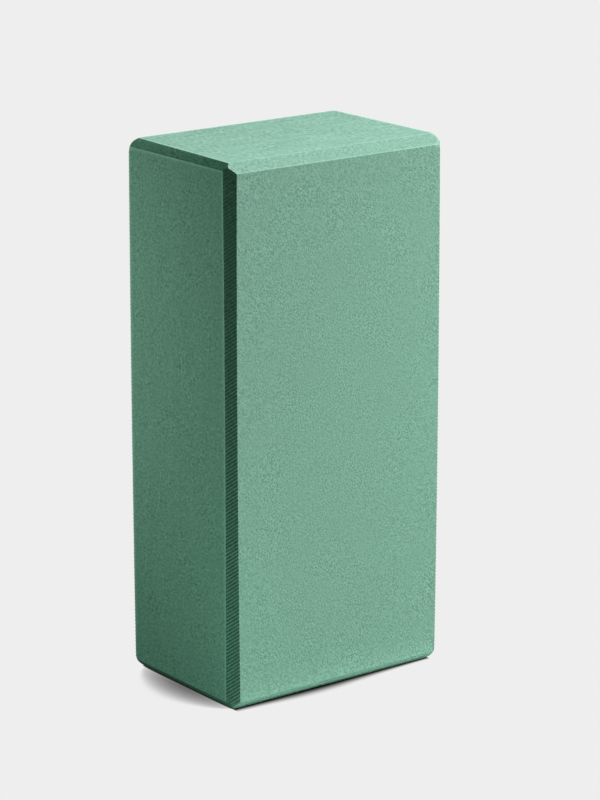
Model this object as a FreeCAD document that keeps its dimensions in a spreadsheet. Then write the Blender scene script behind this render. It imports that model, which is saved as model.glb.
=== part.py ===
import FreeCAD, Part
import os
import Sketcher

# A yoga block: one brick of closed-cell foam that stands on a small end.
# X runs across its width, Y through its thickness and +Z up its length.
# The origin is the middle of the end that it stands on.

# Driving dimensions in millimetres: alias, value, what it measures
DIMENSIONS = [
    ("block_width", "110", "across a large face, from narrow face to narrow face"),
    ("block_thickness", "73", "from one large face to the other"),
    ("block_length", "228", "from end to end, the height as it stands"),
    ("long_edge_bevel", "3.8", "leg of the 45 degree cut along each of the four long edges"),
    ("wide_end_edge_bevel", "4.1", "leg of the 45 degree cut where an end meets a large face"),
    ("narrow_end_edge_bevel", "3.9", "leg of the 45 degree cut where an end meets a narrow face"),
    ("cutter_overrun", "6", "how far the bevel cutter reaches past the foam"),
]

# Sketches are drawn with unit lengths, and the sheet's formulas then set their sizes.
UNIT = 1.0
HALF_SHARE = 0.5

# The sketcher's numbers for the origin and for the two ends of a line
SKETCH_ORIGIN = (-1, 1)
START = 1
END = 2


def make_sheet(doc):
    """The spreadsheet that holds the driving dimensions under their aliases."""
    sheet = doc.addObject("Spreadsheet::Sheet", "Sizes")
    for row, (alias, value, meaning) in enumerate(DIMENSIONS, start=1):
        sheet.set(f"A{row}", alias)
        sheet.set(f"B{row}", value)
        sheet.set(f"C{row}", meaning)
        sheet.setAlias(f"B{row}", alias)
    doc.recompute()


def origin_plane(body, role):
    """One of the body's own origin planes. The block is symmetric about all three."""
    return next(plane for plane in body.Origin.OriginFeatures if plane.Role == role)


def sketch_on(body, name, role):
    """An empty sketch on one of the body's origin planes."""
    sketch = body.newObject("Sketcher::SketchObject", name)
    sketch.AttachmentSupport = (origin_plane(body, role), [""])
    sketch.MapMode = "FlatFace"
    return sketch


def draw_outline(sketch, points):
    """A closed outline of straight lines, whose ends are tied together."""
    corners = [FreeCAD.Vector(x, y) for x, y in points]
    lines = [
        sketch.addGeometry(Part.LineSegment(begin, finish))
        for begin, finish in zip(corners, corners[1:] + corners[:1])
    ]
    for line, following in zip(lines, lines[1:] + lines[:1]):
        sketch.addConstraint(Sketcher.Constraint("Coincident", line, END, following, START))
    return lines


def drive(sketch, name, kind, begin, finish, formula):
    """Ties the distance between two points of a sketch to a formula of the sheet."""
    index = sketch.addConstraint(Sketcher.Constraint(kind, *begin, *finish, UNIT))
    sketch.renameConstraint(index, name)
    sketch.setExpression(f"Constraints.{name}", formula)


def cut_blank(body):
    """The square-edged brick as it is sawn from a slab, centred on the body's origin."""
    sketch = sketch_on(body, "end_outline", "XY_Plane")
    reach = HALF_SHARE * UNIT
    near, right, far, left = draw_outline(
        sketch, [(-reach, -reach), (reach, -reach), (reach, reach), (-reach, reach)]
    )
    for line in (near, far):
        sketch.addConstraint(Sketcher.Constraint("Horizontal", line))
    for line in (right, left):
        sketch.addConstraint(Sketcher.Constraint("Vertical", line))
    sketch.addConstraint(Sketcher.Constraint("Symmetric", near, START, far, START, *SKETCH_ORIGIN))
    drive(sketch, "width", "DistanceX", (near, START), (near, END), "Sizes.block_width")
    drive(sketch, "thickness", "DistanceY", (right, START), (right, END), "Sizes.block_thickness")

    blank = body.newObject("PartDesign::Pad", "sawn_blank")
    blank.Profile = sketch
    blank.SideType = "Symmetric"
    blank.setExpression("Length", "Sizes.block_length")
    return blank


def cut_bevels(body, name, plane, across, up, bevel, mirror_planes):
    """Bevels four parallel edges: one straight pass of the cutter, mirrored to the other three.

    The cutter's section is a right triangle outside the edge. Its long side is the bevel.
    """
    sketch = sketch_on(body, f"{name}_cutter", plane)
    lines = draw_outline(sketch, [(UNIT, UNIT), (0, UNIT), (UNIT, 0)])
    level_leg = lines[0]
    upright_leg = lines[-1]
    sketch.addConstraint(Sketcher.Constraint("Horizontal", level_leg))
    sketch.addConstraint(Sketcher.Constraint("Vertical", upright_leg))
    sketch.addConstraint(Sketcher.Constraint("Equal", level_leg, upright_leg))
    square_corner = (level_leg, START)
    half_across = f"{across} / 2 + Sizes.cutter_overrun"
    half_up = f"{up} / 2 + Sizes.cutter_overrun"
    leg_length = f"{bevel} + 2 * Sizes.cutter_overrun"
    drive(sketch, "half_across", "DistanceX", SKETCH_ORIGIN, square_corner, half_across)
    drive(sketch, "half_up", "DistanceY", SKETCH_ORIGIN, square_corner, half_up)
    drive(sketch, "leg_length", "DistanceX", (level_leg, END), square_corner, leg_length)

    cut = body.newObject("PartDesign::Pocket", f"{name}_cut")
    cut.Profile = sketch
    cut.Type = "ThroughAll"
    cut.SideType = "Symmetric"

    mirrors = []
    for role in mirror_planes:
        mirror = body.newObject("PartDesign::Mirrored", f"{name}_about_{role}")
        mirror.MirrorPlane = (origin_plane(body, role), [""])
        mirrors.append(mirror)
    bevels = body.newObject("PartDesign::MultiTransform", f"{name}_bevels")
    bevels.Originals = [cut]
    bevels.Transformations = mirrors
    body.Tip = bevels
    return bevels


def make_foam_block(doc):
    """The whole block. Three bevels meet at each corner in one sharp point."""
    body = doc.addObject("PartDesign::Body", "foam_block")
    stages = [cut_blank(body)]
    doc.recompute()
    families = [
        ("long_edge", "XY_Plane", "width", "thickness", ("YZ_Plane", "XZ_Plane")),
        ("wide_end_edge", "YZ_Plane", "thickness", "length", ("XZ_Plane", "XY_Plane")),
        ("narrow_end_edge", "XZ_Plane", "width", "length", ("YZ_Plane", "XY_Plane")),
    ]
    for name, plane, across, up, mirror_planes in families:
        sizes = (f"Sizes.block_{across}", f"Sizes.block_{up}", f"Sizes.{name}_bevel")
        stages.append(cut_bevels(body, name, plane, *sizes, mirror_planes))
        doc.recompute()
    body.setExpression("Placement.Base.z", "Sizes.block_length / 2")
    doc.recompute()
    return body, stages


def check_model(doc, body, stages):
    """Stops if a feature failed, if a bevel cut nothing or if the block isn't one sound solid."""
    for item in doc.Objects:
        if "Invalid" in item.State or "Error" in item.State:
            raise RuntimeError(f"{item.Label} failed: {item.State}")
    for before, after in zip(stages, stages[1:]):
        if not after.Shape.Volume < before.Shape.Volume:
            raise RuntimeError(f"{after.Label} cut nothing")
    if body.Shape.isNull() or not body.Shape.isValid() or len(body.Shape.Solids) != 1:
        raise RuntimeError(f"{body.Label} isn't one sound solid")


doc = FreeCAD.newDocument("yoga_block")
make_sheet(doc)
foam_block, stages = make_foam_block(doc)
check_model(doc, foam_block, stages)
os.makedirs("parts", exist_ok=True)
foam_block.Shape.exportStep(f"parts/{foam_block.Label}.step")
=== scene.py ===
import functools
import itertools
import math

import bmesh
import bpy
import numpy as np
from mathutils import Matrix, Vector, geometry, noise


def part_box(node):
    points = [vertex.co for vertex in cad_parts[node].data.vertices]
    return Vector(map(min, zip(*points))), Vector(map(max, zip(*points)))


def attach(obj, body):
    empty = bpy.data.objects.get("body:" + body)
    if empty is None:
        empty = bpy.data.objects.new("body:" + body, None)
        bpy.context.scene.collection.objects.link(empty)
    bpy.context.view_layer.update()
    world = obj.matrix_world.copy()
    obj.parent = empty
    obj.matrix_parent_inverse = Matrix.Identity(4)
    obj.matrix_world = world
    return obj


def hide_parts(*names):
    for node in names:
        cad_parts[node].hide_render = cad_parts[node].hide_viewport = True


# A foam yoga block on a pale floor. Lengths are in metres, as in the frame.
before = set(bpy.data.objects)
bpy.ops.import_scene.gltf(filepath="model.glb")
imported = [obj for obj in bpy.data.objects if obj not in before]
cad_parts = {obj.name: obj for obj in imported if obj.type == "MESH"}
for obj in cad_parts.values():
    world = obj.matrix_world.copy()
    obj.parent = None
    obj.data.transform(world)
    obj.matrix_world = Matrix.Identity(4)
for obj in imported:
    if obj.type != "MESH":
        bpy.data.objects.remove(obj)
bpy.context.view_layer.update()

MM = 0.001
HALF_SHARE = 0.5
FULL_TURN = 2 * math.pi
X, Y, Z = 0, 1, 2
AXES = (X, Y, Z)
SIDES = (-1, 1)

# The block's middle and half sizes, from the frame
BLOCK_NODE = "foam_block"
BLOCK_LOW, BLOCK_HIGH = (np.array(corner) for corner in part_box(BLOCK_NODE))
MIDDLE = (BLOCK_LOW + BLOCK_HIGH) * HALF_SHARE
HALF = (BLOCK_HIGH - BLOCK_LOW) * HALF_SHARE

# Form of the foam's surface
TOUCHING = 0.001 * MM  # points as close as this are one
ARRIS = 0.12 * MM  # how far an arris is softened on both of its sides
LONG_BEVEL_ROW = 0.22 * MM  # from row to row of points along a long bevel
END_BEVEL_ROW = 0.5 * MM  # from row to row of points along an end's bevel
HALF_BEVEL_COLUMNS = 4  # steps from an arris to the middle of a bevel
MITRE_ANGLE = math.radians(40)  # a line that turns more than this is sharp
LONG_BEVEL_WAIST = 0.55 * MM  # how much shorter a long bevel's legs are at its middle
FACE_CELL = 3 * MM  # from point to point on a flat face
PAINTED_HIGHLIGHT_WIDTH = 1.8 * MM  # how far the painted highlight along an arris reaches into a flat face
FACE_DISH = 0.2 * MM
FACE_WAVE = 0.05 * MM
FACE_WAVE_LENGTH = 40 * MM
CORNER_ROUND = 5.5 * MM  # radius of a worn corner
CORNER_BLEND = 1.5 * MM  # the depth over which the rounding sets in

# Marks of the bevel cutter
CUTTER_PITCH = 1.56 * MM  # from groove to groove along a long edge
CUTTER_SLOPE = math.tan(math.radians(34.5))
LONG_CUT_DEPTH = 0.3 * MM
END_CUT_DEPTH = 0.05 * MM
TOP_BITE_SHARE = 0.4  # depth of the marks at the top, against those at the foot
CUTTER_FADE = 2.5 * MM  # the length over which the marks set in at each end of an edge
CUTTER_LEAN_FADE = 8 * MM  # the length over which the rows turn to the marks' slant
CUTTER_WANDER = 14 * MM  # length of the slow changes in depth
CUTTER_WANDER_SHARE = 0.3
END_RIPPLE = 2.2 * MM  # size of the uneven spots on an end's bevel

# The bevels are cut by eye. An edge's key is its axis and the sides of the block that it lies on.
# Its shares are of the CAD's leg, on the two faces beside the edge, at its low and at its high end.
PLAIN_CUT_SHARES = ((1, 1), (1, 1))
HAND_CUT_SHARES = {
    (X, -1, 1): ((0.92, 1.03), (0.98, 1.05)),
    (Y, -1, 1): ((0.69, 0.74), (0.74, 1.13)),
    (Y, 1, 1): ((1.28, 0.9), (1.18, 1.12)),
    (Z, -1, -1): ((1.09, 1.09), (1.09, 0.98)),
    (Z, 1, -1): ((1.15, 0.84), (1.15, 0.84)),
}

# Blender's number for triangles that fill an outline
TRIANGLES_INSIDE = 1

# Marks on the mesh that the materials read
CUT_MARK = "cutter_mark"
# 1 on the arrises that get a painted highlight, fading into the flat faces
PAINTED_HIGHLIGHT_MARK = "arris_painted_highlight"

# Material slots of the brick, for its three kinds of face and its three kinds of bevel
PRESSED, SAWN, END, LONG_CUT, WIDE_CUT, NARROW_CUT = 0, 1, 2, 3, 4, 5
FACE_FINISH = {X: SAWN, Y: PRESSED, Z: END}
CUT_FINISH = {X: WIDE_CUT, Y: NARROW_CUT, Z: LONG_CUT}


def other_axes(axis):
    return [other for other in AXES if other != axis]


def bevel_legs():
    """The leg of the 45 degree bevels along X, Y and Z, measured on the CAD solid."""
    points = np.array([vertex.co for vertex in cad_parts[BLOCK_NODE].data.vertices])
    reach = np.abs(points - MIDDLE)
    legs = []
    for along in AXES:
        first, second = other_axes(along)
        on_face = reach[:, first] > HALF[first] - TOUCHING
        legs.append(HALF[second] - reach[on_face, second].max())
    return legs


LEGS = bevel_legs()

# Half the width and half the depth of the flat that the block stands on
STANDING_HALF = (HALF[X] - LEGS[Y], HALF[Y] - LEGS[X])


def worn(place):
    """A place seen from the block's middle, after wear.

    The corners are rounded, except the two on the front left edge.
    """
    deep = np.abs(place) - (HALF - CORNER_ROUND)
    on_crisp_edge = place[X] < 0 and place[Y] < 0
    if on_crisp_edge or deep.min() <= 0:
        return place
    trim_share = max(0, 1 - CORNER_ROUND / np.linalg.norm(deep)) * min(1, deep.min() / CORNER_BLEND)
    return place - np.sign(place) * deep * trim_share


class Skin:
    """The brick's surface, gathered from places seen from its middle. Points that meet are joined."""

    def __init__(self):
        self.points = []
        self.cuts = []
        self.painted_highlights = []
        self.faces = []
        self.finishes = []
        self.found = {}

    def point(self, place, cut=0, painted_highlight=0):
        """The number of the point at a place. A new one keeps the marks that it is given."""
        key = tuple(int(round(number / TOUCHING)) for number in place)
        if key not in self.found:
            self.found[key] = len(self.points)
            self.points.append(MIDDLE + worn(place))
            self.cuts.append(cut)
            self.painted_highlights.append(painted_highlight)
        return self.found[key]

    def face(self, corners, finish):
        self.faces.append(corners)
        self.finishes.append(finish)


def cut_leg(along, face, signs):
    """The leg of a bevel on one of the faces beside it, at the corner on these sides."""
    first, second = other_axes(along)
    shares = HAND_CUT_SHARES.get((along, signs[first], signs[second]), PLAIN_CUT_SHARES)
    at_corner = shares[SIDES.index(signs[along])]
    return LEGS[along] * at_corner[(first, second).index(face)]


def face_corner(signs, face, softened):
    """A corner of a flat face, seen from the block's middle."""
    reach = HALF.copy()
    for other in other_axes(face):
        along = next(axis for axis in AXES if axis not in (face, other))
        reach[other] -= cut_leg(along, face, signs) + softened
    return np.array(signs) * reach


def mitre_point(signs):
    """The point where the three bevels of a corner meet."""
    slopes = np.zeros((len(AXES), len(AXES)))
    for along in AXES:
        first, second = other_axes(along)
        slopes[along, first] = 1 / cut_leg(along, second, signs)
        slopes[along, second] = 1 / cut_leg(along, first, signs)
    inset = np.linalg.solve(slopes, np.ones(len(AXES)))
    return np.array(signs) * (HALF - inset)


def mitre_line(signs, face):
    """From the corner of a flat face, over its softened arris, to the corner's mitre point."""
    corner = face_corner(signs, face, 0)
    tip = mitre_point(signs)
    first_share = ARRIS / np.linalg.norm(tip - corner)
    shares = np.linspace(first_share, 1, HALF_BEVEL_COLUMNS + 1)
    return [face_corner(signs, face, ARRIS)] + [corner + (tip - corner) * share for share in shares]


def row_shares(along, column_shares):
    """Places of the rows along an edge. On the long edges the rows slant like the cutter's marks."""
    length = 2 * HALF[along]
    row = LONG_BEVEL_ROW if along == Z else END_BEVEL_ROW
    shares = np.linspace(0, 1, round(length / row) + 1)
    if along != Z:
        return np.repeat(shares[:, None], len(column_shares), axis=1)
    lean = CUTTER_SLOPE * LEGS[Z] / math.sqrt(2) / length
    from_end = np.minimum(shares, 1 - shares) * length / CUTTER_LEAN_FADE
    return shares[:, None] + lean * column_shares * np.clip(from_end, 0, 1)[:, None]


@functools.cache
def bevel_grid(along, first_sign, second_sign):
    """Rows and columns of points on a bevel, before its marks are cut.

    The columns run from the bevel's first face to its second.
    """
    first, second = other_axes(along)
    ends = []
    for side in SIDES:
        signs = [0, 0, 0]
        signs[along] = side
        signs[first] = first_sign
        signs[second] = second_sign
        ends.append(np.array(mitre_line(signs, first) + mitre_line(signs, second)[-2::-1]))
    half_columns = [-1, *np.linspace(-1, 0, HALF_BEVEL_COLUMNS + 1)]
    column_shares = np.array(half_columns + [-share for share in half_columns[-2::-1]])
    shares = row_shares(along, column_shares)
    grid = ends[0] + (ends[1] - ends[0]) * shares[:, :, None]
    if along == Z:
        outwards = (1 + column_shares) * HALF_SHARE
        waist = LONG_BEVEL_WAIST * (1 - (2 * shares - 1) ** 2)
        grid[:, :, first] += first_sign * waist * outwards
        grid[:, :, second] += second_sign * waist * (1 - outwards)
    return grid


def slanting_marks(places, widths, edge):
    """The regular slanting marks of the cutter along a long edge: 1 in a groove and -1 on a ridge."""
    phase = (places - CUTTER_SLOPE * (widths - widths.mean())) / CUTTER_PITCH
    rows = places.mean(axis=1)
    slow = np.array([noise.noise(Vector((place / CUTTER_WANDER, edge, edge))) for place in rows])
    wander = 1 - CUTTER_WANDER_SHARE * (HALF_SHARE + HALF_SHARE * slow)
    up_share = HALF_SHARE + HALF_SHARE * rows / HALF[Z]
    bite = 1 - (1 - TOP_BITE_SHARE) * up_share
    return np.cos(FULL_TURN * phase) * (wander * bite)[:, None]


def uneven_marks(places, widths, edge):
    """The soft unevenness of a bevel that was cut across the foam, from -1 to 1."""
    marks = [
        [noise.noise(Vector((place, width, edge * MM)) / END_RIPPLE) for place, width in zip(*row)]
        for row in zip(places, widths)
    ]
    return np.array(marks)


def cutter_marks(grid, along, across, edge):
    """The cutter's marks on a bevel, from -1 to 1, and 0 on its arrises and at both of its ends."""
    make_marks = slanting_marks if along == Z else uneven_marks
    marks = make_marks(grid[:, :, along], grid @ across, edge)
    shares = np.linspace(0, 1, len(grid))
    from_end = np.minimum(shares, 1 - shares) * 2 * HALF[along] / CUTTER_FADE
    marks *= np.clip(from_end, 0, 1)[:, None]
    marks[:, [0, -1]] = 0
    return marks


def cut_bevel(skin, along, first_sign, second_sign, edge):
    """One bevel with its cutter marks, pointed at both ends where it meets its neighbours.

    Its arrises get a painted highlight. The narrow edges of the foot don't, and have the wide edges'
    finish.
    """
    first, second = other_axes(along)
    outward = np.zeros(len(AXES))
    outward[first] = first_sign
    outward[second] = second_sign
    outward /= np.linalg.norm(outward)
    across = outward.copy()
    across[first] *= -1
    grid = bevel_grid(along, first_sign, second_sign)
    marks = cutter_marks(grid, along, across, edge)
    depth = LONG_CUT_DEPTH if along == Z else END_CUT_DEPTH
    grid = grid - outward * (depth * HALF_SHARE * marks)[:, :, None]

    last = grid.shape[1] - 1
    finish = CUT_FINISH[along]
    # The columns that get the painted highlight along the arrises
    highlighted = (0, last) if along == Z else (0, 1, last)
    # The foot's narrow edges take the wide edges' finish, without the narrow bevels' painted shade
    narrow_foot_edge = along == Y and second_sign < 0
    if narrow_foot_edge:
        finish = WIDE_CUT
        highlighted = ()
    placed = [
        [skin.point(place, mark, column in highlighted) for column, (place, mark) in enumerate(zip(*row))]
        for row in zip(grid, marks)
    ]
    for row, following in zip(placed, placed[1:]):
        for column in range(last):
            corners = (row[column], row[column + 1], following[column + 1], following[column])
            skin.face(corners, finish)


def face_border(face, side):
    """The points round a flat face, as its bevels set them, and where its corners are among them."""
    first, second = other_axes(face)
    loop = []
    turns = []
    for along, other, other_sign, forward in (
        (first, second, -1, True),
        (second, first, 1, True),
        (first, second, 1, False),
        (second, first, -1, False),
    ):
        signs = {face: side, other: other_sign}
        beside = other_axes(along)
        grid = bevel_grid(along, *(signs[axis] for axis in beside))
        line = grid[:, 0 if beside[0] == face else -1]
        turns.append(len(loop))
        loop += list(line[:-1] if forward else line[:0:-1])
    return loop, turns


def evenly_between(corners, spacing):
    """A closed loop of points through some corners, about as far apart as the spacing."""
    loop = []
    for begin, finish in zip(corners, np.roll(corners, -1, axis=0)):
        count = round(np.linalg.norm(finish - begin) / spacing)
        loop += [begin + (finish - begin) * step / count for step in range(count)]
    return loop


def flat_face(skin, face, side):
    """One flat face, very slightly dished. The points of its border are those of its four bevels."""
    plane = other_axes(face)
    loop, turns = face_border(face, side)
    border = np.array(loop)[:, plane]
    corners = border[turns]
    inner_corners = corners - np.sign(corners) * PAINTED_HIGHLIGHT_WIDTH
    inner = evenly_between(inner_corners, PAINTED_HIGHLIGHT_WIDTH)
    cell_reach = np.abs(inner_corners).min(axis=0) - FACE_CELL * HALF_SHARE
    columns, rows = [np.arange(-reach, reach, FACE_CELL) for reach in cell_reach]
    cells = [np.array((across, up)) for across in columns for up in rows]
    spots = [Vector(spot / MM) for spot in [*border, *inner, *cells]]
    outline = [list(range(len(border)))]
    found, _, triangles, sources, *_ = geometry.delaunay_2d_cdt(
        spots, [], outline, TRIANGLES_INSIDE, TOUCHING / MM
    )

    low, high = border.min(axis=0), border.max(axis=0)
    indices = []
    for spot, source in zip(found, sources):
        on_border = [index for index in source if index < len(border)]
        if on_border:
            indices.append(skin.point(loop[on_border[0]]))
            continue
        across, up = spot * MM
        shares = ((across, up) - (low + high) * HALF_SHARE) / ((high - low) * HALF_SHARE)
        crown = np.prod(np.clip(1 - shares ** 2, 0, 1))
        ripple = noise.noise(Vector((across, up, face + side)) / FACE_WAVE_LENGTH)
        place = np.zeros(len(AXES))
        place[plane] = across, up
        place[face] = side * (HALF[face] - crown * (FACE_DISH + FACE_WAVE * ripple))
        indices.append(skin.point(place))
    for triangle in triangles:
        skin.face(tuple(indices[corner] for corner in triangle), FACE_FINISH[face])


def brick_skin():
    """The twelve bevels and then the six faces, as one closed skin."""
    skin = Skin()
    for edge, (along, first_sign, second_sign) in enumerate(itertools.product(AXES, SIDES, SIDES)):
        cut_bevel(skin, along, first_sign, second_sign, edge)
    for face, side in itertools.product(AXES, SIDES):
        flat_face(skin, face, side)
    return skin


def mark_points(mesh, name, values):
    """Keeps a number for each point of a mesh, for the materials to read."""
    mark = mesh.attributes.new(name, "FLOAT", "POINT")
    mark.data.foreach_set("value", np.array(values, dtype=np.float32))


def smooth_surface(mesh):
    """Turns the faces outwards and shades them smooth, but for mitres and where two finishes meet."""
    shaped = bmesh.new()
    shaped.from_mesh(mesh)
    bmesh.ops.recalc_face_normals(shaped, faces=shaped.faces)
    for polygon in shaped.faces:
        polygon.smooth = True
    for line in shaped.edges:
        one_finish = len({polygon.material_index for polygon in line.link_faces}) == 1
        line.smooth = one_finish and line.calc_face_angle() < MITRE_ANGLE
    shaped.to_mesh(mesh)
    shaped.free()


def make_foam_brick(materials):
    """The whole block as one closed mesh with a finish for each kind of face and bevel."""
    skin = brick_skin()
    mesh = bpy.data.meshes.new("foam_brick")
    mesh.from_pydata([tuple(point) for point in skin.points], [], skin.faces)
    for material in materials:
        mesh.materials.append(material)
    mesh.polygons.foreach_set("material_index", skin.finishes)
    mark_points(mesh, CUT_MARK, skin.cuts)
    mark_points(mesh, PAINTED_HIGHLIGHT_MARK, skin.painted_highlights)
    smooth_surface(mesh)
    brick = bpy.data.objects.new("foam_brick", mesh)
    bpy.context.scene.collection.objects.link(brick)
    return brick


# Colours of the foam, linear
FOAM = (0.186, 0.38, 0.281)
# The pale foam of the painted highlight along the arrises
PAINTED_HIGHLIGHT_FOAM = (0.29, 0.57, 0.43, 1)

SPECULAR_LEVEL = 0.03
FOAM_ROUGHNESS = 0.9

# How the finishes look: tint against the plain foam, size, contrast and height of the grain, strength
# of the saw's streaks and of the painted highlight along the arrises, how much paler the front is than
# the middle as a painted light gradient, and how much darker the cutter's grooves (painted shade) and
# lighter its ridges (painted highlight) are. Each look after the first says only where it differs from
# that one.
PRESSED_LOOK = {
    "tint_shares": (1.0, 1.0, 1.0), "grain_per_metre": 1400, "contrast": 1.42, "bump": 0.05 * MM,
    "streaks": 0.0, "painted_highlight": 0.0, "painted_front_light": 0.0, "groove": 0.0, "ridge": 0.0,
}
SAWN_LOOK = {
    **PRESSED_LOOK, "grain_per_metre": 1150, "contrast": 1.52, "streaks": 0.12, "painted_highlight": 2.0,
}
END_LOOK = {
    **PRESSED_LOOK, "tint_shares": (1.03, 1.03, 1.03), "grain_per_metre": 780, "contrast": 1.27,
    "bump": 0.04 * MM, "streaks": 0.33, "painted_highlight": 2.0, "painted_front_light": 0.085,
}
LONG_CUT_LOOK = {
    **PRESSED_LOOK, "tint_shares": (0.65, 0.65, 0.65), "grain_per_metre": 1000, "contrast": 1.5,
    "painted_highlight": 0.25, "groove": 0.45, "ridge": 1.1,
}
WIDE_CUT_LOOK = {
    **PRESSED_LOOK, "tint_shares": (0.93, 0.93, 0.93), "grain_per_metre": 1250, "contrast": 1.3,
    "painted_highlight": 1.0,
}
# The narrow cut bevels' darker, greener tint is painted shade
NARROW_CUT_LOOK = {
    **PRESSED_LOOK, "tint_shares": (0.49, 0.62, 0.56), "grain_per_metre": 1000, "contrast": 2.2,
    "painted_highlight": 0.4,
}

# The finishes in the order of the brick's material slots
FINISHES = {
    "pressed_foam": PRESSED_LOOK,
    "sawn_foam": SAWN_LOOK,
    "end_foam": END_LOOK,
    "long_cut_foam": LONG_CUT_LOOK,
    "wide_cut_foam": WIDE_CUT_LOOK,
    "narrow_cut_foam": NARROW_CUT_LOOK,
}

# What the finishes share
GRAIN_TURN = (0, math.radians(45), 0)
GRAIN_STRETCH = (1.3, 1.3, 0.85)
GRAIN_DETAIL = 0
SOFT_DETAIL = 2
PATCH_PER_METRE = 75
# How often the painted highlight along the arrises breaks, and how sharply it falls off from an arris
HIGHLIGHT_BREAKS_PER_METRE = 420
PAINTED_HIGHLIGHT_SHARPNESS = 2
STREAKS_PER_METRE = (45, 220, 45)


class Nodes:
    """A short way to place nodes in a tree and to join them."""

    def __init__(self, tree):
        self.tree = tree

    def add(self, kind, **settings):
        node = self.tree.nodes.new(kind)
        for name, value in settings.items():
            setattr(node, name, value)
        return node

    def join(self, source, target):
        self.tree.links.new(source, target)

    def feed(self, sockets, values):
        """Joins sockets to the outputs that feed them, and sets those whose values are plain."""
        for socket, value in zip(sockets, values):
            if isinstance(value, bpy.types.NodeSocket):
                self.join(value, socket)
            else:
                socket.default_value = value

    def math(self, operation, first, second=0):
        node = self.add("ShaderNodeMath", operation=operation)
        self.feed(node.inputs, (first, second))
        return node.outputs["Value"]

    def blend(self, share, first, second, blend_type="MIX"):
        node = self.add("ShaderNodeMix", data_type="RGBA", blend_type=blend_type)
        self.feed([socket for socket in node.inputs if socket.enabled], (share, first, second))
        return next(socket for socket in node.outputs if socket.enabled)

    def ramp(self, value, low, high):
        """Rises smoothly from 0 to 1 while a value goes from low to high."""
        node = self.add("ShaderNodeMapRange", interpolation_type="SMOOTHSTEP")
        sockets = [node.inputs[name] for name in ("Value", "From Min", "From Max")]
        self.feed(sockets, (value, low, high))
        return node.outputs["Result"]

    def speckle(self, place, per_metre, detail):
        """Soft spots of a size, from 0 to 1, with more fine ones where there is more detail."""
        node = self.add("ShaderNodeTexNoise", noise_dimensions="3D")
        sockets = [node.inputs[name] for name in ("Vector", "Scale", "Detail")]
        self.feed(sockets, (place, per_metre, detail))
        return node.outputs["Fac"]

    def place(self):
        """Where a spot is on its object."""
        return self.add("ShaderNodeTexCoord").outputs["Object"]

    def place_apart(self):
        """Where a spot is on its object, as its X, Y and Z."""
        node = self.add("ShaderNodeSeparateXYZ")
        self.join(self.place(), node.inputs["Vector"])
        return node.outputs

    def mix_shaders(self, share, first, second):
        node = self.add("ShaderNodeMixShader")
        self.feed(node.inputs, (share, first, second))
        return node.outputs["Shader"]


def new_group(name, inputs, outputs):
    """An empty shader node group with named inputs and outputs."""
    group = bpy.data.node_groups.new(name, "ShaderNodeTree")
    for socket_name in inputs:
        group.interface.new_socket(socket_name, in_out="INPUT", socket_type="NodeSocketFloat")
    for socket_name in outputs:
        group.interface.new_socket(socket_name, in_out="OUTPUT", socket_type="NodeSocketFloat")
    nodes = Nodes(group)
    return nodes, nodes.add("NodeGroupInput").outputs, nodes.add("NodeGroupOutput").inputs


def place_group(nodes, group, values):
    """Places a node group in a material with values of its own."""
    node = nodes.add("ShaderNodeGroup", node_tree=group)
    for name, value in values.items():
        node.inputs[name].default_value = value
    return node.outputs


def foam_grain_group():
    """Fine pebbled grain of closed-cell foam, stronger in some patches than in others."""
    nodes, given, made = new_group("foam_grain", ["Grain per metre", "Contrast"], ["Swing", "Height"])
    place = nodes.place()
    slant = nodes.add("ShaderNodeMapping", vector_type="TEXTURE")
    slant.inputs["Rotation"].default_value = GRAIN_TURN
    slant.inputs["Scale"].default_value = GRAIN_STRETCH
    nodes.join(place, slant.inputs["Vector"])
    grain = nodes.speckle(slant.outputs["Vector"], given["Grain per metre"], GRAIN_DETAIL)
    patch = nodes.speckle(place, PATCH_PER_METRE, SOFT_DETAIL)
    swing = nodes.math("SUBTRACT", grain, HALF_SHARE)
    strength = nodes.math("MULTIPLY", patch, given["Contrast"])
    nodes.join(nodes.math("MULTIPLY", swing, strength), made["Swing"])
    nodes.join(grain, made["Height"])
    return nodes.tree


def sawn_streak_group():
    """Soft streaks that a saw leaves along the ends and the narrow faces."""
    nodes, given, made = new_group("sawn_streaks", ["Contrast"], ["Swing"])
    pull = nodes.add("ShaderNodeMapping")
    pull.inputs["Scale"].default_value = STREAKS_PER_METRE
    nodes.join(nodes.place(), pull.inputs["Vector"])
    streak = nodes.speckle(pull.outputs["Vector"], 1, SOFT_DETAIL)
    swing = nodes.math("SUBTRACT", streak, HALF_SHARE)
    nodes.join(nodes.math("MULTIPLY", swing, given["Contrast"]), made["Swing"])
    return nodes.tree


def arris_painted_highlight_group():
    """Mask of the painted highlight: a pale line along the brick's arrises."""
    nodes, given, made = new_group("arris_painted_highlight", ["Strength"], ["Mask"])
    mark = nodes.add("ShaderNodeAttribute", attribute_name=PAINTED_HIGHLIGHT_MARK)
    near = nodes.math("POWER", mark.outputs["Fac"], PAINTED_HIGHLIGHT_SHARPNESS)
    highlight_breaks = nodes.speckle(nodes.place(), HIGHLIGHT_BREAKS_PER_METRE, SOFT_DETAIL)
    highlighted = nodes.math("MULTIPLY", near, highlight_breaks)
    nodes.join(nodes.math("MULTIPLY", highlighted, given["Strength"]), made["Mask"])
    return nodes.tree


def paint_front_light(nodes, swing, strength):
    """Paints light into a tone: paler towards the block's front and darker towards its back."""
    backwards = nodes.math("DIVIDE", nodes.place_apart()[Y], HALF[Y])
    return nodes.math("SUBTRACT", swing, nodes.math("MULTIPLY", backwards, strength))


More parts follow.
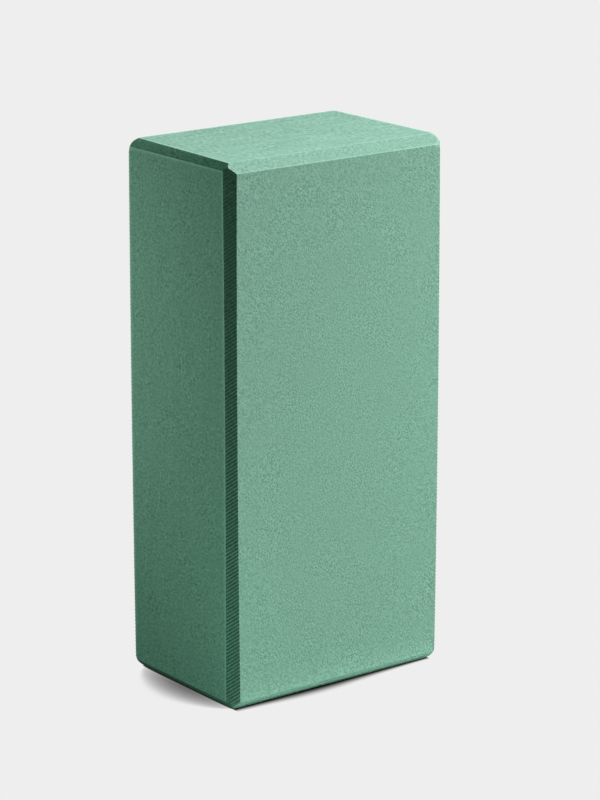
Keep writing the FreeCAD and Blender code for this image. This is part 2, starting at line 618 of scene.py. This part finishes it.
def tone_cutter_marks(nodes, swing, groove_strength, ridge_strength):
    """Paints shade into the cutter's grooves and a highlight onto its ridges: a tone darker in the
    grooves and lighter on the ridges.
    """
    mark = nodes.add("ShaderNodeAttribute", attribute_name=CUT_MARK).outputs["Fac"]
    groove = nodes.math("MULTIPLY", nodes.math("MAXIMUM", mark, 0), groove_strength)
    ridge = nodes.math("MULTIPLY", nodes.math("MINIMUM", mark, 0), ridge_strength)
    return nodes.math("SUBTRACT", nodes.math("SUBTRACT", swing, groove), ridge)


def foam_finish(name, look, groups):
    """One finish of the foam: its tint with grain, streaks, cutter marks with painted shade and
    highlight, a painted light gradient on the ends, and a painted highlight along the arrises.
    """
    material = bpy.data.materials.new(name)
    material.use_nodes = True
    nodes = Nodes(material.node_tree)
    shader = material.node_tree.nodes["Principled BSDF"]
    shader.inputs["Specular IOR Level"].default_value = SPECULAR_LEVEL
    shader.inputs["Roughness"].default_value = FOAM_ROUGHNESS

    grain_values = {"Grain per metre": look["grain_per_metre"], "Contrast": look["contrast"]}
    grain = place_group(nodes, groups["grain"], grain_values)
    streaks = place_group(nodes, groups["streaks"], {"Contrast": look["streaks"]})
    swing = nodes.math("ADD", grain["Swing"], streaks["Swing"])
    # A painted light gradient on the ends: paler at the front, darker at the back
    if look["painted_front_light"]:
        swing = paint_front_light(nodes, swing, look["painted_front_light"])
    # Painted shade in the cutter's grooves and painted highlight on its ridges
    if look["groove"]:
        swing = tone_cutter_marks(nodes, swing, look["groove"], look["ridge"])
    level = nodes.math("ADD", swing, 1)
    shade = nodes.add("ShaderNodeCombineColor")
    for socket in shade.inputs:
        nodes.join(level, socket)
    tint = tuple(part * share for part, share in zip(FOAM, look["tint_shares"])) + (1,)
    colour = nodes.blend(1, tint, shade.outputs["Color"], "MULTIPLY")
    # A painted highlight: pale foam along the arrises
    if look["painted_highlight"]:
        painted_highlight = place_group(nodes, groups["painted_highlight"], {"Strength": look["painted_highlight"]})
        colour = nodes.blend(painted_highlight["Mask"], colour, PAINTED_HIGHLIGHT_FOAM)
    nodes.join(colour, shader.inputs["Base Color"])

    bump = nodes.add("ShaderNodeBump")
    bump.inputs["Distance"].default_value = look["bump"]
    nodes.join(grain["Height"], bump.inputs["Height"])
    nodes.join(bump.outputs["Normal"], shader.inputs["Normal"])
    return material


def foam_materials():
    groups = {"grain": foam_grain_group(), "streaks": sawn_streak_group(), "painted_highlight": arris_painted_highlight_group()}
    return [foam_finish(name, look, groups) for name, look in FINISHES.items()]


# The studio. The key lamp lights the top, the front and the right side, the side lamp the front and
# the right side, the fill lamp the left side, the low lamp the foot of the front left edge, and the
# back lamp the back.
BACKDROP = (0.855, 0.855, 0.855, 1)
AMBIENT = (0.1, 1.0, 0.5, 1)
AMBIENT_STRENGTH = 0.08
LAMPS = {
    "key": {
        "direction": (0.64, -0.34, 0.69), "distance": 2.0, "height": 0.114, "size": 1.0,
        "power": 92, "colour": (1.0, 0.85, 0.935),
    },
    "side": {
        "direction": (0.74, -0.67, 0.0), "distance": 0.35, "height": 0.114, "size": 0.2,
        "power": 0.48, "colour": (0.92, 1.0, 0.93),
    },
    "fill": {
        "direction": (-0.9, 0.43, 0.0), "distance": 0.26, "height": 0.165, "size": 0.12,
        "power": 0.208, "colour": (0.96, 0.99, 0.98),
    },
    "low": {
        "direction": (-0.746, -0.666, 0.0), "distance": 0.18, "height": 0.02, "size": 0.06,
        "power": 0.0412, "colour": (0.69, 1.0, 0.94),
    },
    "back": {
        "direction": (0.1, 0.99, 0.06), "distance": 1.2, "height": 0.114, "size": 0.6,
        "power": 7, "colour": (1.0, 1.0, 1.0),
    },
}


def add_lamp(name, direction, distance, height, size, power, colour):
    """A square soft lamp that looks at a height on the block from a direction."""
    data = bpy.data.lights.new(name, "AREA")
    data.shape = "SQUARE"
    data.size = size
    data.energy = power
    data.color = colour
    lamp = bpy.data.objects.new(name, data)
    aim = Vector(direction).normalized()
    lamp.location = Vector((MIDDLE[X], MIDDLE[Y], height)) + aim * distance
    lamp.rotation_mode = "QUATERNION"
    lamp.rotation_quaternion = aim.to_track_quat("Z", "Y")
    lamp.visible_camera = False
    bpy.context.scene.collection.objects.link(lamp)


def background_share(nodes):
    """1 for the rays that show the background: the camera's, and those that gloss or glass sends on."""
    path = nodes.add("ShaderNodeLightPath").outputs
    sent_on = nodes.math("MAXIMUM", path["Is Glossy Ray"], path["Is Transmission Ray"])
    return nodes.math("MAXIMUM", path["Is Camera Ray"], sent_on)


def make_world():
    """A plain pale backdrop, with a weak ambient light of its own."""
    world = bpy.data.worlds.new("studio")
    world.use_nodes = True
    nodes = Nodes(world.node_tree)
    world.node_tree.nodes.clear()
    seen = nodes.add("ShaderNodeBackground")
    seen.inputs["Color"].default_value = BACKDROP
    ambient = nodes.add("ShaderNodeBackground")
    ambient.inputs["Strength"].default_value = AMBIENT_STRENGTH
    ambient.inputs["Color"].default_value = AMBIENT
    shown = nodes.mix_shaders(
        background_share(nodes), ambient.outputs["Background"], seen.outputs["Background"]
    )
    nodes.join(shown, nodes.add("ShaderNodeOutputWorld").inputs["Surface"])
    bpy.context.scene.world = world


FLOOR_REACH = 12.0
FLOOR_GAP = 0.02 * MM

# The dark contact line round the foot. A crisper line is a thinner one.
CONTACT_START = 0.3 * MM
CONTACT_END = 8 * MM
SIDE_CRISPNESS = 2.5
THINNEST_SHARE = 0.2
FRONT_CRISPNESS = 2
FRONT_WIDEST_SHARE = -0.2
BACK_CRISPNESS = 4

# The soft shade left of the block
SHADE_SAMPLES = 16
SHADE_REACH = 14.5 * MM
SHADE_LEAN = (0.91, 0.0, 0.41)
SHADE_POWER = 2
SHADE_SOFTNESS = 2.2
SHADE_FADE_POWER = 0.6

# The light that the floor sends back: none where the block touches it, most close by, and little
# farther out
BOUNCE_DARK = 0.5 * MM
BOUNCE_CLEAR = 4 * MM
BOUNCE_START = 4 * MM
BOUNCE_END = 16 * MM
BOUNCE_TOUCH_COLOUR = (0, 0, 0, 1)
BOUNCE_NEAR_COLOUR = (0.9, 1.0, 0.95, 1)
BOUNCE_FAR_COLOUR = (0.1, 0.12, 0.11, 1)


def standing_gap(nodes, place, crispness):
    """How far a place on the floor is from the flat that the block stands on.

    The distances along X and along Y are each multiplied by their crispness.
    """
    squares = []
    for axis, reach, crisp in zip((X, Y), STANDING_HALF, crispness):
        beside = nodes.math("SUBTRACT", nodes.math("ABSOLUTE", place[axis]), reach)
        gap = nodes.math("MULTIPLY", nodes.math("MAXIMUM", beside, 0), crisp)
        squares.append(nodes.math("MULTIPLY", gap, gap))
    return nodes.math("SQRT", nodes.math("ADD", *squares))


def share_along_side(nodes, place):
    """Falls from 1 at the middle of the block's narrow sides to 0 at their corners."""
    aside = nodes.math("DIVIDE", place[Y], STANDING_HALF[Y])
    return nodes.math("MAXIMUM", nodes.math("SUBTRACT", 1, nodes.math("MULTIPLY", aside, aside)), 0)


def contact_shade(nodes, place):
    """How pale the dark line round the block's foot leaves the floor.

    The line is widest left of the front's middle, and thin towards the corners and at the back.
    """
    across = nodes.math("DIVIDE", place[X], HALF[X])
    aside = nodes.math("SUBTRACT", across, FRONT_WIDEST_SHARE)
    narrowing = nodes.math("MULTIPLY", nodes.math("MULTIPLY", aside, aside), FRONT_CRISPNESS)
    behind = nodes.math("MULTIPLY", nodes.math("GREATER_THAN", place[Y], 0), BACK_CRISPNESS)
    front_crispness = nodes.math("ADD", nodes.math("ADD", 1, narrowing), behind)
    taper = nodes.math("SQRT", share_along_side(nodes, place))
    width_share = nodes.math("MAXIMUM", taper, THINNEST_SHARE)
    side_crispness = nodes.math("DIVIDE", SIDE_CRISPNESS, width_share)
    gap = standing_gap(nodes, place, (side_crispness, front_crispness))
    return nodes.ramp(gap, CONTACT_START, CONTACT_END)


def left_shade(nodes, place):
    """How pale the soft shade left of the block leaves the floor.

    The shade is weaker and narrower towards the corners.
    """
    inside = share_along_side(nodes, place)
    lean = nodes.add("ShaderNodeCombineXYZ")
    nodes.feed(lean.inputs, Vector(SHADE_LEAN).normalized())
    leaning = nodes.add("ShaderNodeAmbientOcclusion", samples=SHADE_SAMPLES)
    nodes.join(nodes.math("MULTIPLY", inside, SHADE_REACH), leaning.inputs["Distance"])
    nodes.join(lean.outputs["Vector"], leaning.inputs["Normal"])
    hidden = nodes.math("SUBTRACT", 1, nodes.math("POWER", leaning.outputs["AO"], SHADE_POWER))
    dark = nodes.math("POWER", hidden, SHADE_SOFTNESS)
    fade = nodes.math("POWER", inside, SHADE_FADE_POWER)
    return nodes.math("SUBTRACT", 1, nodes.math("MULTIPLY", dark, fade))


def bounce_colour(nodes, place):
    """The colour of the light that the floor sends back. The shaded left side sends hardly any."""
    gap = standing_gap(nodes, place, (1, 1))
    leftwards = nodes.math("SUBTRACT", 0, place[X])
    on_left = nodes.ramp(leftwards, STANDING_HALF[X], HALF[X])
    dim = nodes.math("MAXIMUM", nodes.ramp(gap, BOUNCE_START, BOUNCE_END), on_left)
    glow = nodes.blend(dim, BOUNCE_NEAR_COLOUR, BOUNCE_FAR_COLOUR)
    return nodes.blend(nodes.ramp(gap, BOUNCE_DARK, BOUNCE_CLEAR), BOUNCE_TOUCH_COLOUR, glow)


def floor_material():
    """Pale where it is seen, with a dark line at the block's foot and a soft shade at its left."""
    material = bpy.data.materials.new("pale_floor")
    material.use_nodes = True
    nodes = Nodes(material.node_tree)
    material.node_tree.nodes.clear()
    place = nodes.place_apart()
    seen = nodes.add("ShaderNodeEmission")
    seen.inputs["Color"].default_value = BACKDROP
    pale = nodes.math("MINIMUM", contact_shade(nodes, place), left_shade(nodes, place))
    nodes.join(pale, seen.inputs["Strength"])
    bounce = nodes.add("ShaderNodeBsdfDiffuse")
    nodes.join(bounce_colour(nodes, place), bounce.inputs["Color"])
    shown = nodes.mix_shaders(background_share(nodes), bounce.outputs["BSDF"], seen.outputs["Emission"])
    nodes.join(shown, nodes.add("ShaderNodeOutputMaterial").inputs["Surface"])
    return material


def make_floor():
    """A wide flat floor, just under the end that the block stands on."""
    corners = [(-FLOOR_REACH, -FLOOR_REACH), (FLOOR_REACH, -FLOOR_REACH)]
    corners += [(FLOOR_REACH, FLOOR_REACH), (-FLOOR_REACH, FLOOR_REACH)]
    level = BLOCK_LOW[Z] - FLOOR_GAP
    mesh = bpy.data.meshes.new("floor")
    mesh.from_pydata([(x, y, level) for x, y in corners], [], [(0, 1, 2, 3)])
    mesh.materials.append(floor_material())
    floor = bpy.data.objects.new("floor", mesh)
    bpy.context.scene.collection.objects.link(floor)


# The camera, which looks a little down on the front left edge
VIEW_AZIMUTH = math.radians(-37.24)
VIEW_ELEVATION = math.radians(15.54)
VIEW_DISTANCE = 1.3593
VIEW_ASIDE = 6.02 * MM
VIEW_ABOVE = 1.84 * MM
SENSOR_WIDTH = 36.0
LENS = 146.5


def make_camera():
    """A long lens that looks from the view's angle, aimed a little beside the block's middle."""
    flat = math.cos(VIEW_ELEVATION)
    back = Vector((
        math.sin(VIEW_AZIMUTH) * flat,
        -math.cos(VIEW_AZIMUTH) * flat,
        math.sin(VIEW_ELEVATION),
    ))
    right = Vector((math.cos(VIEW_AZIMUTH), math.sin(VIEW_AZIMUTH), 0))
    up = back.cross(right)
    data = bpy.data.cameras.new("camera")
    data.sensor_width = SENSOR_WIDTH
    data.lens = LENS
    camera = bpy.data.objects.new("camera", data)
    camera.location = Vector(MIDDLE) + right * VIEW_ASIDE + up * VIEW_ABOVE + back * VIEW_DISTANCE
    camera.rotation_mode = "QUATERNION"
    camera.rotation_quaternion = back.to_track_quat("Z", "Y")
    bpy.context.scene.collection.objects.link(camera)
    bpy.context.scene.camera = camera


brick = make_foam_brick(foam_materials())
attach(brick, "root")
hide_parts(BLOCK_NODE)

make_world()
make_floor()
for name, lamp in LAMPS.items():
    add_lamp(name, **lamp)
make_camera()
bpy.context.scene.view_settings.view_transform = "Standard"
